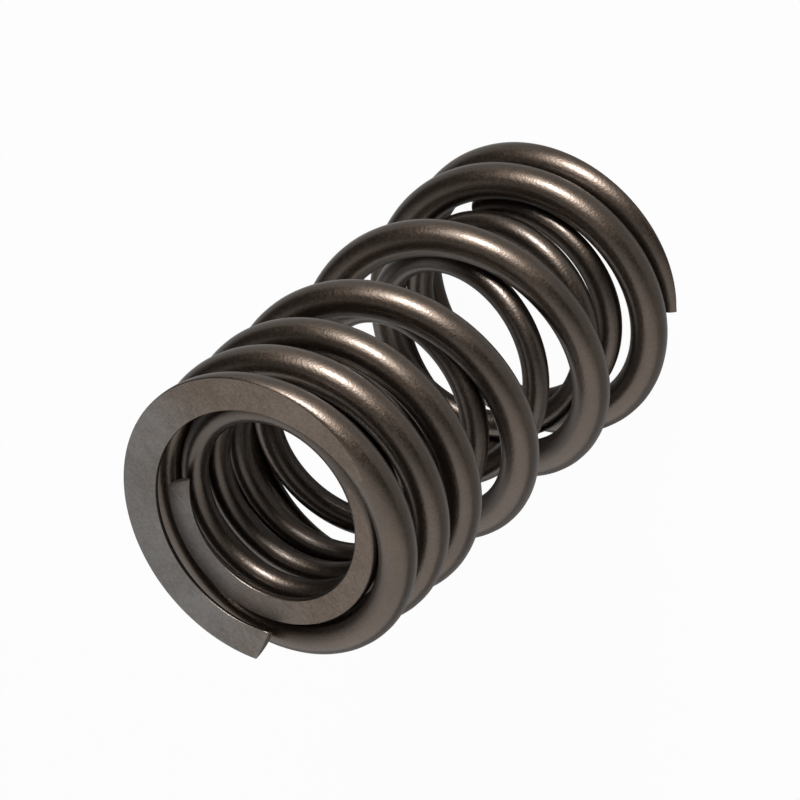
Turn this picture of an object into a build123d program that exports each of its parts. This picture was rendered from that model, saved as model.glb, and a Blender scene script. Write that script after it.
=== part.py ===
from build123d import *
import os
from math import cos, pi, radians, sin, tan

# Engine valve spring: two round-wire compression springs wound in opposite
# directions, one nested inside the other. Both have closed ends ground flat.
# +Z is up the spring's axis. The origin is the centre of the outer spring's
# bottom ground face. All lengths are in millimetres and all angles in degrees.

# Outer spring, right-hand. Turns are counted from the bottom tip, and each
# gap is the clear space between two neighbouring coils.
outer_wire = 3.9
outer_diameter = 32.8
free_length = 57.4
outer_turns = 6.739
outer_start_angle = 225.3
outer_tip_gap = 5.1
outer_tip_ramp = 0.35
outer_end_gap = 0.27
outer_end_turns = 0.97
outer_end_ramp = 0.49
outer_close_ramp = 0.71
outer_close_gap = 2.44
outer_close_turns = 2.26
outer_top_ramp = 0.52
outer_shear_angle = 23.5

# Inner spring, left-hand
inner_wire = 2.8
inner_turns = 7.844
inner_start_angle = -18.0
inner_end_gap = 1.44
inner_end_turns = 0.99
inner_end_ramp = 0.97
inner_mid_ramp = 0.54
inner_mid_gap = 3.63
inner_close_ramp = 1.58
inner_close_gap = 1.1
inner_close_turns = 1.79
inner_top_ramp = 0.12
inner_top_gap = 0.05
inner_top_turns = 0.42
inner_shear_angle = 30

# Fit of the two springs
nest_clearance = 0.2
top_recess = 1.8
base_rise = 5.0

# How far the wire's centre line runs past each ground face at its tip. The
# outer spring's bottom tip droops, so more of it is ground away.
grind_overrun = 0.55
outer_tip_overrun = 1.4

# How far the wire is wound, and the shear cuts, past what they need to
shear_trim = 0.1

points_per_turn = 12
RIGHT_HAND = 1
LEFT_HAND = -1

outer_mean_radius = (outer_diameter - outer_wire) / 2
inner_mean_radius = outer_mean_radius - outer_wire / 2 - nest_clearance - inner_wire / 2
inner_top = free_length - top_recess


def with_open_pitch(stations, rise):
    """Fill in the open pitch so that the coils climb exactly the given rise.

    Each station is (turn, pitch), counted from the bottom tip, and a pitch of
    None is the open pitch. The pitch changes evenly between two stations.
    """
    known = 0
    open_turns = 0
    for (turn_a, pitch_a), (turn_b, pitch_b) in zip(stations, stations[1:]):
        for pitch in (pitch_a, pitch_b):
            if pitch is None:
                open_turns += (turn_b - turn_a) / 2
            else:
                known += (turn_b - turn_a) / 2 * pitch
    open_pitch = (rise - known) / open_turns
    return [(turn, open_pitch if pitch is None else pitch) for turn, pitch in stations]


def climb(stations, turn):
    """Height of the wire's centre above its bottom tip, the sum of the pitch."""
    height = 0
    for (turn_a, pitch_a), (turn_b, pitch_b) in zip(stations, stations[1:]):
        span = min(turn, turn_b) - turn_a
        if span > 0:
            slope = (pitch_b - pitch_a) / (turn_b - turn_a)
            height += pitch_a * span + slope * span * span / 2
    return height


def spare_wire(wire, shear_angle):
    """Length of wire wound past a top tip, so that a slanted cut is whole."""
    return wire / 2 * tan(radians(shear_angle)) + shear_trim


def coil_points(stations, mean_radius, start_angle, hand, bottom, spare):
    """Points on the wire's centre line, from its bottom tip to its spare wire."""
    top_turn, top_pitch = stations[-1]
    turns = top_turn + spare / (2 * pi * mean_radius)
    with_spare = stations + [(turns, top_pitch)]
    steps = round(turns * points_per_turn)
    points = []
    for step in range(steps + 1):
        turn = turns * step / steps
        angle = radians(start_angle + hand * 360 * turn)
        height = bottom + climb(with_spare, turn)
        points.append((mean_radius * cos(angle), mean_radius * sin(angle), height))
    return points


def shear_place(mean_radius, start_angle, turns, hand, shear_angle, height):
    """Place of the shear at a top tip: its X axis points off the wire's end."""
    tip = start_angle + hand * 360 * turns
    x = mean_radius * cos(radians(tip))
    y = mean_radius * sin(radians(tip))
    return Location((x, y, height), (0, 0, tip + hand * (90 - shear_angle)))


def shear_reach(wire, shear_angle):
    """Length of the shear's cut along its X axis, enough for all the spare wire."""
    outer_side = wire / 2 * sin(radians(shear_angle))
    return spare_wire(wire, shear_angle) + outer_side + shear_trim


# Pitch of the outer spring: a tip that droops, one closed end turn, open coils,
# close-wound coils, then half a turn that levels out onto the coil below it
outer_tip_pitch = outer_wire + outer_tip_gap
outer_end_pitch = outer_wire + outer_end_gap
outer_close_pitch = outer_wire + outer_close_gap
outer_close_end = outer_turns - outer_top_ramp
outer_close_start = outer_close_end - outer_close_turns
outer_stations = with_open_pitch(
    [
        (0, outer_tip_pitch),
        (outer_tip_ramp, outer_end_pitch),
        (outer_end_turns, outer_end_pitch),
        (outer_end_turns + outer_end_ramp, None),
        (outer_close_start - outer_close_ramp, None),
        (outer_close_start, outer_close_pitch),
        (outer_close_end, outer_close_pitch),
        (outer_turns, 0),
    ],
    free_length + outer_tip_overrun + grind_overrun,
)

# Pitch of the inner spring: one closed end turn and open coils, then coils that
# draw closer in two steps, and under half a closed turn at the top
inner_end_pitch = inner_wire + inner_end_gap
inner_mid_pitch = inner_wire + inner_mid_gap
inner_close_pitch = inner_wire + inner_close_gap
inner_top_pitch = inner_wire + inner_top_gap
inner_top_start = inner_turns - inner_top_turns
inner_close_end = inner_top_start - inner_top_ramp
inner_close_start = inner_close_end - inner_close_turns
inner_mid_turn = inner_close_start - inner_close_ramp
inner_stations = with_open_pitch(
    [
        (0, inner_end_pitch),
        (inner_end_turns, inner_end_pitch),
        (inner_end_turns + inner_end_ramp, None),
        (inner_mid_turn - inner_mid_ramp, None),
        (inner_mid_turn, inner_mid_pitch),
        (inner_close_start, inner_close_pitch),
        (inner_close_end, inner_close_pitch),
        (inner_top_start, inner_top_pitch),
        (inner_turns, inner_top_pitch),
    ],
    inner_top - base_rise + 2 * grind_overrun,
)

outer_points = coil_points(
    outer_stations, outer_mean_radius, outer_start_angle, RIGHT_HAND,
    -outer_tip_overrun, spare_wire(outer_wire, outer_shear_angle))
inner_points = coil_points(
    inner_stations, inner_mean_radius, inner_start_angle, LEFT_HAND,
    base_rise - grind_overrun, spare_wire(inner_wire, inner_shear_angle))

# The outer spring is wound along its centre line, its top tip is sheared off at
# an angle that leaves the inner side longest, and both ends are ground flat
with BuildPart() as outer_spring:
    with BuildLine() as outer_path:
        Spline(outer_points)
    with BuildSketch(Plane(outer_path.line @ 0, z_dir=outer_path.line % 0)):
        Circle(outer_wire / 2)
    sweep(path=outer_path.line, is_frenet=True)
    with Locations(shear_place(
            outer_mean_radius, outer_start_angle, outer_turns, RIGHT_HAND,
            outer_shear_angle, free_length + grind_overrun)):
        Box(
            shear_reach(outer_wire, outer_shear_angle), 2 * outer_wire, outer_wire + shear_trim,
            align=(Align.MIN, Align.CENTER, Align.CENTER), mode=Mode.SUBTRACT)
    split(bisect_by=Plane.XY, keep=Keep.TOP)
    split(bisect_by=Plane.XY.offset(free_length), keep=Keep.BOTTOM)

# The inner spring is wound the other way, so that its coils can't catch
with BuildPart() as inner_spring:
    with BuildLine() as inner_path:
        Spline(inner_points)
    with BuildSketch(Plane(inner_path.line @ 0, z_dir=inner_path.line % 0)):
        Circle(inner_wire / 2)
    sweep(path=inner_path.line, is_frenet=True)
    with Locations(shear_place(
            inner_mean_radius, inner_start_angle, inner_turns, LEFT_HAND,
            inner_shear_angle, inner_top + grind_overrun)):
        Box(
            shear_reach(inner_wire, inner_shear_angle), 2 * inner_wire, inner_wire + shear_trim,
            align=(Align.MIN, Align.CENTER, Align.CENTER), mode=Mode.SUBTRACT)
    split(bisect_by=Plane.XY.offset(base_rise), keep=Keep.TOP)
    split(bisect_by=Plane.XY.offset(inner_top), keep=Keep.BOTTOM)

os.makedirs("parts", exist_ok=True)
outer_spring.part.label = "outer_spring"
inner_spring.part.label = "inner_spring"
export_step(outer_spring.part, "parts/outer_spring.step")
export_step(inner_spring.part, "parts/inner_spring.step")
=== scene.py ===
# %% [markdown]
# A nested pair of engine valve springs
#
# Two springs close one engine valve: a thick outer spring, wound right-hand, and
# a thin inner spring inside it, wound left-hand so that their coils can't catch.
# Each is one length of round wire. It is wound hot-tempered and brown, its ends
# are drawn towards the next coil and ground flat, and it is peened with fine shot.
# This lesson winds both wires as surfaces worked out with numpy, gives them a
# peened and a ground finish, and lights them on a plain white table.

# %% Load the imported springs
import math

import bpy
import numpy as np
from mathutils import Matrix, Vector


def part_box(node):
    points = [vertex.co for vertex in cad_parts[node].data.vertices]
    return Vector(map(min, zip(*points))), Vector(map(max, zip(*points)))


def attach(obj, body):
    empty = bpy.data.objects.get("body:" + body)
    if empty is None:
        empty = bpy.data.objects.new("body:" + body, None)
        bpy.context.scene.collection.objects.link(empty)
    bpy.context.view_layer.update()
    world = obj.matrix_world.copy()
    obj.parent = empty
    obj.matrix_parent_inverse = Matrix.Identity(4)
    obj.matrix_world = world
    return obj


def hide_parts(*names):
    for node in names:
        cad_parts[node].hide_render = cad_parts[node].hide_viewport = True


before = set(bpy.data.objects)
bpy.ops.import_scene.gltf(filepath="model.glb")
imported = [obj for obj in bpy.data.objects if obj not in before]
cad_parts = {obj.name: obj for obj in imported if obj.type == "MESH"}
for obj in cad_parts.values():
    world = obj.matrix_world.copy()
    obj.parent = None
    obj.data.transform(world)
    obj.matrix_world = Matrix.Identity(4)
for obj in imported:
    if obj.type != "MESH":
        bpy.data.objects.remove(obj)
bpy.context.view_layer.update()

MM = 0.001

# %% [markdown]
# The springs' sizes
#
# A spring maker orders a spring by its wire, its coil diameter, its free length,
# its turns and its pitch, which is how far the wire climbs in one turn. A valve
# spring's pitch changes along it: a closed end turn, open coils, close-wound
# coils, and a last part that closes again. So each spring is a short table of
# turns and pitches, in millimetres, counted from its bottom tip. At each tip the
# wire's centre runs past the ground face by the overrun, and the outer spring's
# bottom tip droops, so the most is ground off there. The inner spring's pitch is
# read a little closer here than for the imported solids, and its coils stand up to
# half a millimetre from theirs.

# %% Sizes of the two springs, in millimetres
outer_spring = dict(
    wire=3.9, mean_radius=14.45, hand=1, start_angle=225.3,
    bottom_face=0.0, bottom_overrun=1.4, top_face=57.4, top_overrun=0.55, shear_angle=23.5,
    turn_marks=[0, 0.35, 0.97, 1.46, 3.249, 3.959, 6.219, 6.739],
    pitches=[9.0, 4.17, 4.17, 14.74, 14.74, 6.34, 6.34, 0],
)
inner_spring = dict(
    wire=2.8, mean_radius=10.9, hand=-1, start_angle=-18.0,
    bottom_face=5.0, bottom_overrun=0.55, top_face=55.6, top_overrun=0.55, shear_angle=30.0,
    turn_marks=[0, 0.99, 1.96, 3.41, 3.81, 4.84, 7.34, 7.46, 7.844],
    pitches=[4.24, 4.24, 12.32, 12.32, 7.46, 3.92, 4.22, 2.85, 2.85],
)
for name, spring in (("outer", outer_spring), ("inner", inner_spring)):
    print(name, "wire", spring["wire"], "mm,", spring["turn_marks"][-1], "turns")

# %% [markdown]
# The wire's centre line
#
# On the coiling machine the wire runs over a pitch tool that moves sideways as
# the coil grows. Where the tool stands still the pitch is even, and where it
# moves the pitch changes evenly. So the height of the wire is the pitch added up
# over the turns, which has a plain formula between any two marks of the table.


# %% Height of the wire along the coil
def climbed(turn, spring):
    """Height of the wire's centre at each turn, in millimetres.

    Formula: the height at the last mark passed, plus the pitch there times the
    turns since that mark, plus half the change of pitch per turn times the square
    of those turns. The total is then fitted to the ground length.
    """
    marks = np.array(spring["turn_marks"], float)
    pitch = np.array(spring["pitches"], float)
    widths = np.diff(marks)
    at_marks = np.concatenate([[0], np.cumsum(widths * (pitch[:-1] + pitch[1:]) / 2)])
    i = np.clip(np.searchsorted(marks, turn, side="right") - 1, 0, len(widths) - 1)
    past = turn - marks[i]
    slope = (pitch[i + 1] - pitch[i]) / widths[i]
    height = at_marks[i] + pitch[i] * past + slope * past * past / 2
    lowest = spring["bottom_face"] - spring["bottom_overrun"]
    highest = spring["top_face"] + spring["top_overrun"]
    return lowest + height * (highest - lowest) / at_marks[-1]


print("outer tip to tip:", climbed(np.array([0, outer_spring["turn_marks"][-1]]), outer_spring))

# %% [markdown]
# The wire's section, ground flat
#
# Away from its ends the wire's section is a circle. Near an end the grinding
# wheel has cut the circle off by a level line, so the section is an arc closed by
# a flat. If the flat's two corners are always vertices of the section, the ground
# face gets a clean edge for its whole length. Where the wheel leaves the wire the
# flat shrinks, and every section keeps one too narrow to see, so that they all
# have the same points. The corners get a small bevel, because a ground edge is
# tumbled before the spring is fitted, and that bevel catches the light.

# %% Section of the wire
FLAT_STEPS = 8
ARC_STEPS = 15
BOTTOM_FLAT = FLAT_STEPS + 1 + ARC_STEPS + 1
SMALLEST_ANGLE = math.radians(2.5)
DEEPEST_CUT = 0.7
EDGE_BEVEL = 0.06
BEVEL_SHARE = 0.3


def flat_angle(level, radius):
    """Angle between the wire's top or bottom and the corner of a flat there.

    Formula: the arc cosine of the flat's distance from the wire's centre over the
    radius. A flat lies at most the deepest cut times the radius past the centre.
    """
    return np.maximum(np.arccos(np.clip(level / radius, -DEEPEST_CUT, 1)), SMALLEST_ANGLE)


def section(level_top, level_bottom, radius):
    """Outline of each section as across and up coordinates, in millimetres.

    Formula: a flat at angle a from the top is level at radius * cos(a), and spans
    plus and minus radius * sin(a). The points run along the top flat, down the
    outer arc, back along the bottom flat and up the inner arc, and the ends of
    each flat and arc stop short of the corner by the bevel.
    """
    top, bottom = flat_angle(level_top, radius), flat_angle(-level_bottom, radius)
    bevel_top = np.minimum(EDGE_BEVEL, radius * np.sin(top) * BEVEL_SHARE)
    bevel_bottom = np.minimum(EDGE_BEVEL, radius * np.sin(bottom) * BEVEL_SHARE)
    flat = np.linspace(-1, 1, FLAT_STEPS + 1)
    arc = np.linspace(0, 1, ARC_STEPS + 1)

    top_across = (radius * np.sin(top) - bevel_top)[:, None] * flat
    top_up = radius * np.cos(top)[:, None] + 0 * flat
    first = (top + bevel_top / radius)[:, None]
    last = (math.pi - bottom - bevel_bottom / radius)[:, None]
    angle = first + (last - first) * arc
    outer_across, outer_up = radius * np.sin(angle), radius * np.cos(angle)
    bottom_across = -(radius * np.sin(bottom) - bevel_bottom)[:, None] * flat
    bottom_up = -radius * np.cos(bottom)[:, None] + 0 * flat
    inner_across, inner_up = -outer_across[:, ::-1], outer_up[:, ::-1]
    across = np.hstack([top_across, outer_across, bottom_across, inner_across])
    up = np.hstack([top_up, outer_up, bottom_up, inner_up])
    return across, up


print("points round the wire:", 2 * BOTTOM_FLAT)

# %% [markdown]
# Winding the wire
#
# A coil is a section carried along a helix. At each turn the section stands
# square to the wire: its across direction points away from the spring's axis, and
# its up direction is square to that and to the wire. The top tips are sheared at
# a slant, with the inner side of the wire longest, so near the tip each point
# slides along its own turn by an amount that grows with its distance across.

# %% Surface of the wound wire
ROWS_PER_TURN = 150
SLOPE_STEP = 1e-4
SHEAR_BLEND = 2.5


def wound_wire(spring):
    """Points of the wire's skin, one row per section, in millimetres.

    Formula: the centre is (R cos q, R sin q, h) with q the start angle plus the
    hand times 360 degrees times the turn, and h the climbed height. A point is
    the centre plus across times (cos q, sin q, 0) plus up times the direction
    square to both that and the wire. The slide fades out over the shear blend.
    """
    radius, mean, hand = spring["wire"] / 2, spring["mean_radius"], spring["hand"]
    turns = spring["turn_marks"][-1]
    once_round = 2 * math.pi * mean
    tip = EDGE_BEVEL / once_round
    turn = np.linspace(tip, turns - tip, round(turns * ROWS_PER_TURN))

    def height_and_tilt(t):
        rise = climbed(t + SLOPE_STEP, spring) - climbed(t - SLOPE_STEP, spring)
        return climbed(t, spring), np.arctan2(rise / (2 * SLOPE_STEP), once_round)

    height, tilt = height_and_tilt(turn)
    level_top = (spring["top_face"] - height) / np.cos(tilt)
    level_bottom = (spring["bottom_face"] - height) / np.cos(tilt)
    across, up = section(level_top, level_bottom, radius)

    blend = np.clip(1 - (turns - turn) * once_round / SHEAR_BLEND, 0, 1)[:, None]
    slide = -blend * across * math.tan(math.radians(spring["shear_angle"]))
    out = mean + across
    own_turn = turn[:, None] + slide / (2 * math.pi * out)
    height, tilt = height_and_tilt(own_turn)
    angle = np.radians(spring["start_angle"] + hand * 360 * own_turn)
    x = out * np.cos(angle) + hand * up * np.sin(tilt) * np.sin(angle)
    y = out * np.sin(angle) - hand * up * np.sin(tilt) * np.cos(angle)
    z = np.clip(height + up * np.cos(tilt), spring["bottom_face"], spring["top_face"])
    return np.stack([x, y, z], axis=-1)


outer_rows = wound_wire(outer_spring)
inner_rows = wound_wire(inner_spring)
print("outer wire rows:", outer_rows.shape[0], " inner wire rows:", inner_rows.shape[0])

# %% [markdown]
# Closing the wire
#
# A wire is a closed solid, so its two tips are capped. Each cap is a few rings
# that shrink to one point in the middle, and its first ring is a little smaller
# than the wire, which gives the tip a bevelled edge. The faces are listed the
# other way round on a left-hand spring, so that they point outwards on both.

# %% Tips and faces
CAP_SHARES = (0.62, 0.25)
CAP_RINGS = 1 + len(CAP_SHARES)


def tip_rings(end_row, next_row, radius):
    """Rings that close one tip, from the wire inwards, and the tip's middle.

    Formula: the end row is moved off the wire by the bevel, and a ring is its
    middle plus a share of the distance from there to the moved row.
    """
    off = (end_row - next_row).mean(axis=0)
    off *= EDGE_BEVEL / np.linalg.norm(off)
    middle = end_row.mean(axis=0) + off
    shares = (1 - EDGE_BEVEL / radius,) + CAP_SHARES
    return [middle + share * (end_row + off - middle) for share in shares], middle


def wire_faces(count, places, hand):
    """Faces between all rows, and the two fans that meet in the tips' middles.

    Formula: vertex (row, place) has the number row * places + place, and a face
    joins a row and the next, a place and the next. The middles come last.
    """
    row, place = np.meshgrid(np.arange(count - 1), np.arange(places), indexing="ij")
    here, there = row * places + place, row * places + (place + 1) % places
    quads = np.stack([here, there, there + places, here + places], -1).reshape(-1, 4)
    place = np.arange(places)
    after = (place + 1) % places
    low_pole, high_pole, last_row = count * places, count * places + 1, (count - 1) * places
    low_fan = np.stack([np.full(places, low_pole), after, place], -1)
    high_fan = np.stack([np.full(places, high_pole), last_row + place, last_row + after], -1)
    return [face for part in (quads, low_fan, high_fan) for face in part[:, ::hand].tolist()]


print("rings in each cap:", CAP_RINGS)

# %% [markdown]
# Ground faces and crisp edges
#
# The faces that lie in a ground face, and the cut tips, get the ground finish.
# The edges along a flat and round a tip are marked sharp, so that the flat stays
# flat in the light while the wire next to it stays round. The rest is smooth.


# %% Finishes and sharp edges of the wire
def ground_rows(rows, radius):
    """Whether each row of the mesh is ground at the top, and at the bottom.

    Formula: a row is ground where its flat is over twice as wide as the smallest
    one, which is two radii times the sine of the smallest angle. Caps have none.
    """
    flats = [rows[:, start + FLAT_STEPS] - rows[:, start] for start in (0, BOTTOM_FLAT)]
    wide = np.linalg.norm(flats, axis=-1).T > 4 * radius * math.sin(SMALLEST_ANGLE)
    return np.pad(wide, ((CAP_RINGS, CAP_RINGS), (0, 0)))


def finish_slots(is_ground, places):
    """Finish of each face, in the order of wire_faces: 0 is wire and 1 is ground."""
    both = is_ground[:-1] & is_ground[1:]
    slots = np.zeros((len(both), places), np.int32)
    slots[:, :FLAT_STEPS] = both[:, :1]
    slots[:, BOTTOM_FLAT:BOTTOM_FLAT + FLAT_STEPS] = both[:, 1:]
    slots[:CAP_RINGS] = 1
    slots[-CAP_RINGS:] = 1
    return np.concatenate([slots.reshape(-1), np.ones(2 * places, np.int32)])


def sharp_edges(mesh, is_ground, places):
    """Whether each edge runs along the side of a flat, or round a tip's rim."""
    count = len(is_ground)
    edges = np.zeros(len(mesh.edges) * 2, np.int32)
    mesh.edges.foreach_get("vertices", edges)
    edges = np.sort(edges.reshape(-1, 2), axis=1)
    (row, next_row), (place, next_place) = (edges // places).T, (edges % places).T
    along = (place == next_place) & (next_row - row == 1) & (next_row < count)
    at_top, at_bottom = is_ground[np.minimum(row, count - 1)].T
    top_side = along & np.isin(place, (0, FLAT_STEPS)) & at_top
    bottom_side = along & np.isin(place, (BOTTOM_FLAT, BOTTOM_FLAT + FLAT_STEPS)) & at_bottom
    rim = (row == next_row) & np.isin(row, (CAP_RINGS - 1, count - CAP_RINGS))
    return top_side | bottom_side | rim


# %% Mesh of each spring
def spring_mesh(name, spring, rows):
    """Closes the rows into a mesh with two finishes, wire first and ground second."""
    radius = spring["wire"] / 2
    low_rings, low_middle = tip_rings(rows[0], rows[1], radius)
    high_rings, high_middle = tip_rings(rows[-1], rows[-2], radius)
    grid = np.concatenate([low_rings[::-1], rows, high_rings])
    count, places = grid.shape[:2]
    points = np.concatenate([grid.reshape(-1, 3), [low_middle, high_middle]]) * MM
    mesh = bpy.data.meshes.new(name)
    mesh.from_pydata(points, [], wire_faces(count, places, spring["hand"]))

    is_ground = ground_rows(rows, radius)
    slots = finish_slots(is_ground, places)
    mesh.polygons.foreach_set("material_index", slots)
    mesh.polygons.foreach_set("use_smooth", np.ones(len(slots), bool))
    sharp = mesh.attributes.new("sharp_edge", "BOOLEAN", "EDGE")
    sharp.data.foreach_set("value", sharp_edges(mesh, is_ground, places))
    mesh.update()
    mesh.validate()
    piece = bpy.data.objects.new(name, mesh)
    bpy.context.collection.objects.link(piece)
    return piece


wound_outer = spring_mesh("wound_outer_spring", outer_spring, outer_rows)
wound_inner = spring_mesh("wound_inner_spring", inner_spring, inner_rows)
for piece in (wound_outer, wound_inner):
    print(piece.name, len(piece.data.polygons), "faces")

# %% [markdown]
# Colours and a way to build a finish
#
# Colours are written as the sRGB hex values that a picture program shows, and
# one function turns them into the linear light that a shader works in. One small
# function adds a node, sets its inputs and links it.


# %% Helpers for materials
def linear(hex_colour):
    """sRGB hex to linear light: a share under 0.04 is divided by 12.92, and any
    other is ((share + 0.055) / 1.055) to the power 2.4."""
    shares = [int(hex_colour[i:i + 2], 16) / 255 for i in (1, 3, 5)]
    light = [s / 12.92 if s < 0.04045 else ((s + 0.055) / 1.055) ** 2.4 for s in shares]
    return (*light, 1.0)


def add(tree, kind, links=None, **settings):
    """Adds one node. Settings name its properties or its inputs, and links are
    pairs of an input and the socket that feeds it."""
    node = tree.nodes.new(kind)
    for key, value in settings.items():
        if hasattr(node, key):
            setattr(node, key, value)
        else:
            node.inputs[key.replace("_", " ")].default_value = value
    for key, socket in (links or {}).items():
        tree.links.new(socket, node.inputs[key])
    return node


def new_finish(name):
    """A material with no nodes yet, and its node tree."""
    finish = bpy.data.materials.new(name)
    finish.use_nodes = True
    finish.node_tree.nodes.clear()
    return finish, finish.node_tree


# %% [markdown]
# Shot-peened spring steel
#
# Valve springs are wound from oil-tempered chrome-silicon wire. Tempering leaves
# a thin brown-black oxide, and peening with fine steel shot covers the wire with
# shallow dimples, about a fifth of a millimetre wide. The oxide makes the metal
# dark and a little warm, and the dimples break each highlight into fine grain.
# A film of rust-proofing oil lies over it all. It has no colour of its own, so it
# gives the highlights a white core and the coils a pale rim where they turn away.

# %% Peened wire finish
OXIDE_CLOUD = 6 * MM
OXIDE_GRAIN = 0.3 * MM
OXIDE_BASE = 0.15
DIMPLE_WIDTH = 0.2 * MM
DIMPLE_DEPTH = 0.045 * MM


def peened_steel(name, dark_hex, light_hex):
    """Dark tempered steel: the oxide's share is cloud times grain plus a base, the
    grain also varies the roughness, and rounded cells are the dimples."""
    finish, tree = new_finish(name)
    place = add(tree, "ShaderNodeTexCoord").outputs["Object"]
    clouds = add(tree, "ShaderNodeTexNoise", {"Vector": place},
                 Scale=1 / OXIDE_CLOUD, Detail=4.0, Roughness=0.6)
    grain = add(tree, "ShaderNodeTexNoise", {"Vector": place},
                Scale=1 / OXIDE_GRAIN, Detail=2.0, Roughness=0.5)
    oxide = add(tree, "ShaderNodeMath", {0: grain.outputs["Fac"], 1: clouds.outputs["Fac"]},
                operation="MULTIPLY_ADD")
    oxide.inputs[2].default_value = OXIDE_BASE
    colour = add(tree, "ShaderNodeValToRGB", {"Fac": oxide.outputs[0]})
    colour.color_ramp.elements[0].position = 0.25
    colour.color_ramp.elements[0].color = linear(dark_hex)
    colour.color_ramp.elements[1].position = 0.6
    colour.color_ramp.elements[1].color = linear(light_hex)
    rough = add(tree, "ShaderNodeMapRange", {"Value": grain.outputs["Fac"]},
                From_Min=0.3, From_Max=0.7, To_Min=0.35, To_Max=0.43)
    dimples = add(tree, "ShaderNodeTexVoronoi", {"Vector": place},
                  feature="SMOOTH_F1", Scale=1 / DIMPLE_WIDTH)
    bump = add(tree, "ShaderNodeBump", {"Height": dimples.outputs["Distance"]},
               Strength=0.3, Distance=DIMPLE_DEPTH)
    steel = add(tree, "ShaderNodeBsdfPrincipled",
                {"Base Color": colour.outputs["Color"], "Roughness": rough.outputs["Result"],
                 "Normal": bump.outputs["Normal"], "Coat Normal": bump.outputs["Normal"]},
                Metallic=1.0, Coat_Weight=0.55, Coat_Roughness=0.22)
    add(tree, "ShaderNodeOutputMaterial", {"Surface": steel.outputs["BSDF"]})
    return finish


outer_wire_finish = peened_steel(
    "tempered and shot-peened spring steel", "#4e443b", "#5f5248")
inner_wire_finish = peened_steel(
    "tempered and shot-peened fine spring steel", "#483f38", "#594e45")
print("finishes:", outer_wire_finish.name, "/", inner_wire_finish.name)

# %% [markdown]
# Ground spring steel
#
# The end faces are ground between two wheels after tempering, then the spring is
# heated once more to relieve it, which browns the bare metal again. They are flat
# and matt, a little lighter than the wire, with faint straight marks of the
# wheel's grit about a tenth of a millimetre apart. Towards one side the brown has
# been rubbed off in patches a few millimetres wide, and the steel is greyer there.

# %% Ground face finish
MARK_LENGTH = 1.6 * MM
MARKS_PER_LENGTH = 14
MARK_TURN = 0.6
MARK_DEPTH = 0.03 * MM
STAIN_WIDTH = 5 * MM
SPECK_WIDTH = 0.25 * MM
RUBBED_SIDE = (0.43, 0.9, 0)


def two_tones(tree, share, dark_hex, light_hex):
    """A colour between two tones, by a share from 0 to 1."""
    tones = add(tree, "ShaderNodeValToRGB", {"Fac": share})
    tones.color_ramp.elements[0].color = linear(dark_hex)
    tones.color_ramp.elements[1].color = linear(light_hex)
    return tones.outputs["Color"]


def ground_steel(name, brown, grey):
    """Matt ground steel: stretched noise is the wheel's marks, wide noise the stain.

    Formula: the rubbed share is the distance towards the rubbed side, over the
    outer coil's radius, plus the stain, so that the grey comes and goes in patches.
    """
    finish, tree = new_finish(name)
    place = add(tree, "ShaderNodeTexCoord").outputs["Object"]
    across = add(tree, "ShaderNodeMapping", {"Vector": place},
                 Rotation=(0, 0, MARK_TURN), Scale=(1, MARKS_PER_LENGTH, 1))
    marks = add(tree, "ShaderNodeTexNoise", {"Vector": across.outputs["Vector"]},
                Scale=1 / MARK_LENGTH, Detail=3.0, Roughness=0.6)
    stain = add(tree, "ShaderNodeTexNoise", {"Vector": place},
                Scale=1 / STAIN_WIDTH, Detail=4.0, Roughness=0.6)
    speck = add(tree, "ShaderNodeTexNoise", {"Vector": place}, Scale=1 / SPECK_WIDTH, Detail=2.0)
    mix = add(tree, "ShaderNodeMath", {0: marks.outputs["Fac"], 1: stain.outputs["Fac"]},
              operation="ADD")
    mix = add(tree, "ShaderNodeMath", {0: mix.outputs[0], 1: speck.outputs["Fac"]},
              operation="ADD")
    share = add(tree, "ShaderNodeMapRange", {"Value": mix.outputs[0]}, From_Min=1.2, From_Max=1.8)
    browned = two_tones(tree, share.outputs["Result"], *brown)
    greyed = two_tones(tree, share.outputs["Result"], *grey)

    side = add(tree, "ShaderNodeVectorMath", {0: place}, operation="DOT_PRODUCT")
    side.inputs[1].default_value = RUBBED_SIDE
    side = add(tree, "ShaderNodeMath", {0: side.outputs["Value"], 2: stain.outputs["Fac"]},
               operation="MULTIPLY_ADD")
    side.inputs[1].default_value = 1 / (outer_spring["mean_radius"] * MM)
    rubbed = add(tree, "ShaderNodeMapRange", {"Value": side.outputs[0]},
                 From_Min=0.5, From_Max=1.4)
    colour = add(tree, "ShaderNodeMix", {0: rubbed.outputs["Result"], 6: browned, 7: greyed},
                 data_type="RGBA")

    bump = add(tree, "ShaderNodeBump", {"Height": marks.outputs["Fac"]},
               Strength=0.25, Distance=MARK_DEPTH)
    steel = add(tree, "ShaderNodeBsdfPrincipled",
                {"Base Color": colour.outputs[2], "Normal": bump.outputs["Normal"]},
                Metallic=1.0, Roughness=0.52)
    add(tree, "ShaderNodeOutputMaterial", {"Surface": steel.outputs["BSDF"]})
    return finish


ground_finish = ground_steel(
    "ground and stress-relieved spring steel",
    brown=("#61564e", "#796d63"), grey=("#6a6764", "#7d7a78"))
for piece, finish in ((wound_outer, outer_wire_finish), (wound_inner, inner_wire_finish)):
    piece.data.materials.append(finish)
    piece.data.materials.append(ground_finish)
print("ground finish:", ground_finish.name)

# %% [markdown]
# Putting the springs in place
#
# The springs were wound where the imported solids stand, so nothing is moved. Each
# rides on the one body of the part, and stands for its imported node.

# %% Springs onto the frame
for piece, node in ((wound_outer, "outer_spring"), (wound_inner, "inner_spring")):
    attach(piece, "root")
    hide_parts(node)
    low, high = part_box(node)
    print(piece.name, "stands for", node, "of height", round((high[2] - low[2]) / MM, 2), "mm")

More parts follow.
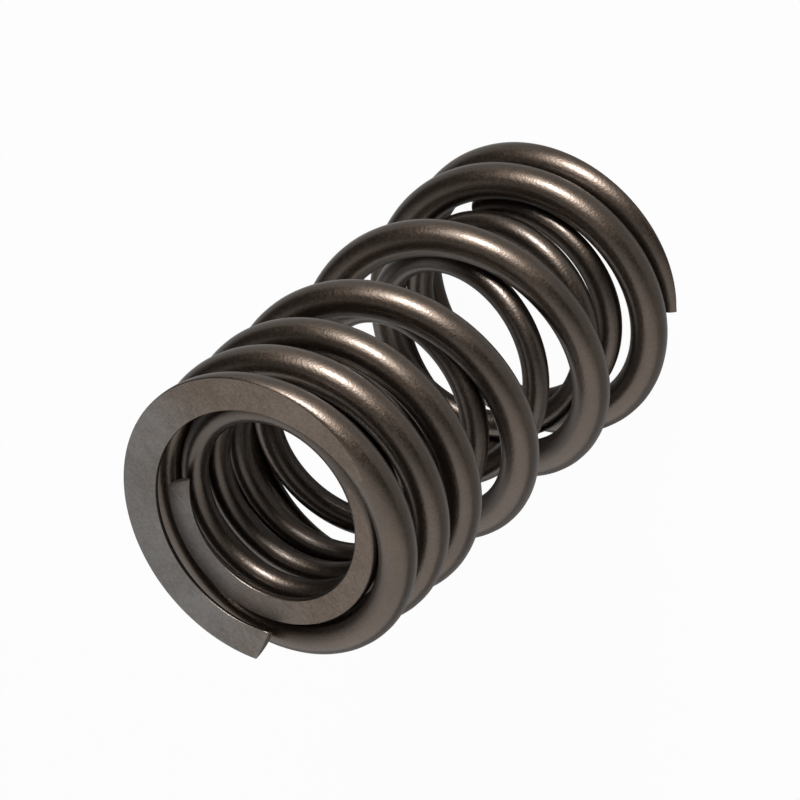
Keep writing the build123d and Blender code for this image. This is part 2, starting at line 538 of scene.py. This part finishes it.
# %% [markdown]
# A white table
#
# The background is white, so the table is white where the camera sees it, and
# under that it is a pale paint that takes the springs' soft shadow. A reflection
# shows the paint with a little of the white, or the coils would lose their dark
# lower sides.

# %% Table
TABLE_EDGE = 3
WHITE_TO_CAMERA = 0.97
WHITE_IN_REFLECTIONS = 0.1

table_corners = [(-TABLE_EDGE, -TABLE_EDGE, 0), (TABLE_EDGE, -TABLE_EDGE, 0),
                 (TABLE_EDGE, TABLE_EDGE, 0), (-TABLE_EDGE, TABLE_EDGE, 0)]
table_mesh = bpy.data.meshes.new("table")
table_mesh.from_pydata(table_corners, [], [(0, 1, 2, 3)])
table = bpy.data.objects.new("table", table_mesh)
bpy.context.collection.objects.link(table)

table_finish, tree = new_finish("white table top")
path = add(tree, "ShaderNodeLightPath").outputs
seen = add(tree, "ShaderNodeMath", {0: path["Is Camera Ray"], 1: path["Is Transmission Ray"]},
           operation="MAXIMUM")
seen = add(tree, "ShaderNodeMath", {0: seen.outputs[0]}, operation="MULTIPLY")
seen.inputs[1].default_value = WHITE_TO_CAMERA
share = add(tree, "ShaderNodeMath", {0: path["Is Glossy Ray"], 2: seen.outputs[0]},
            operation="MULTIPLY_ADD")
share.inputs[1].default_value = WHITE_IN_REFLECTIONS
paint = add(tree, "ShaderNodeBsdfDiffuse", Color=linear("#bcbcbc"))
glow = add(tree, "ShaderNodeEmission", Strength=1.0)
mixed = add(tree, "ShaderNodeMixShader",
            {0: share.outputs[0], 1: paint.outputs[0], 2: glow.outputs[0]})
add(tree, "ShaderNodeOutputMaterial", {"Surface": mixed.outputs[0]})
table_mesh.materials.append(table_finish)
print("table is", 2 * TABLE_EDGE, "m wide")

# %% [markdown]
# A room with one white wall
#
# The camera sees white all round. A reflection sees a white wall on one side,
# which fades to a nearly black room on the other, and that fall from light to
# dark is what makes a round wire look like metal. On matt surfaces the room
# gives only a weak and even light, so that the lamps draw the shadow.

# %% Room
WALL_SIDE = (-0.66, 0.555, 0.506)
EVEN_LIGHT = 0.2

room = bpy.data.worlds.new("white room")
bpy.context.scene.world = room
room.use_nodes = True
tree = room.node_tree
tree.nodes.clear()
path = add(tree, "ShaderNodeLightPath").outputs
seen = add(tree, "ShaderNodeMath", {0: path["Is Camera Ray"], 1: path["Is Glossy Ray"]},
           operation="MAXIMUM")
seen = add(tree, "ShaderNodeMath", {0: seen.outputs[0], 1: path["Is Transmission Ray"]},
           operation="MAXIMUM")
heading = add(tree, "ShaderNodeTexCoord").outputs["Generated"]
towards_wall = add(tree, "ShaderNodeVectorMath", {0: heading}, operation="DOT_PRODUCT")
towards_wall.inputs[1].default_value = WALL_SIDE
wall = add(tree, "ShaderNodeMapRange", {"Value": towards_wall.outputs["Value"]},
           interpolation_type="SMOOTHSTEP", From_Min=-0.1, From_Max=0.95, To_Min=0.02, To_Max=1.2)
wall = add(tree, "ShaderNodeMath", {0: wall.outputs["Result"], 1: path["Is Camera Ray"]},
           operation="MAXIMUM")
level = add(tree, "ShaderNodeMix", {0: seen.outputs[0], 3: wall.outputs[0]}, A=EVEN_LIGHT)
sky = add(tree, "ShaderNodeBackground", {"Strength": level.outputs[0]}, Color=(1, 1, 1, 1))
add(tree, "ShaderNodeOutputWorld", {"Surface": sky.outputs[0]})
print("room:", room.name)

# %% [markdown]
# The camera
#
# The photograph looks down on the close-wound end from well above, with a long
# lens, and it was turned so that the springs lean from the lower left to the upper
# right. The camera stands where a fit of the coils to the photograph puts it.

# %% Camera
camera_data = bpy.data.cameras.new("camera")
camera_data.sensor_width = 36.0
camera_data.lens = 302.9
camera_data.clip_start = 20 * MM
camera = bpy.data.objects.new("camera", camera_data)
bpy.context.collection.objects.link(camera)
camera_right = Vector((-0.64454, -0.56624, -0.51376))
camera_up = Vector((0.76457, -0.47572, -0.43488))
camera_back = camera_right.cross(camera_up).normalized()
camera.matrix_world = Matrix((
    (camera_right.x, camera_up.x, camera_back.x, 1.78 * MM),
    (camera_right.y, camera_up.y, camera_back.y, -466.81 * MM),
    (camera_right.z, camera_up.z, camera_back.z, 542.59 * MM),
    (0, 0, 0, 1),
))
bpy.context.scene.camera = camera
top_middle = Vector((0, 0, outer_spring["top_face"] * MM))
print("camera", round((camera.location - top_middle).length / MM), "mm from the top face")

# %% [markdown]
# Studio light
#
# One small lamp stands above and behind the camera as the photograph is held,
# which draws a bright line along the upper side of every coil. A larger and weaker
# soft box round it gives each line its soft edge, and the white wall lights the
# lower sides. The view transform is Standard, so a colour renders as written.

# %% Lamps
AIM = Vector((0, 0, 28 * MM))
KEY_SIDE = (0.564, -0.759, 0.324)


def square_lamp(name, direction, distance, size, power):
    """A square lamp at a distance along a direction from the springs' middle, in
    metres and watts."""
    lamp_data = bpy.data.lights.new(name, "AREA")
    lamp_data.size = size
    lamp_data.energy = power
    lamp = bpy.data.objects.new(name, lamp_data)
    bpy.context.collection.objects.link(lamp)
    towards = Vector(direction).normalized()
    lamp.location = AIM + towards * distance
    lamp.rotation_euler = towards.to_track_quat("Z", "Y").to_euler()
    return lamp


key_lamp = square_lamp("key lamp", KEY_SIDE, distance=0.7, size=0.2, power=6.5)
soft_box = square_lamp("soft box", KEY_SIDE, distance=0.72, size=0.6, power=2.5)
bpy.context.scene.view_settings.view_transform = "Standard"
print("lamps:", key_lamp.data.energy, "W and", soft_box.data.energy, "W")
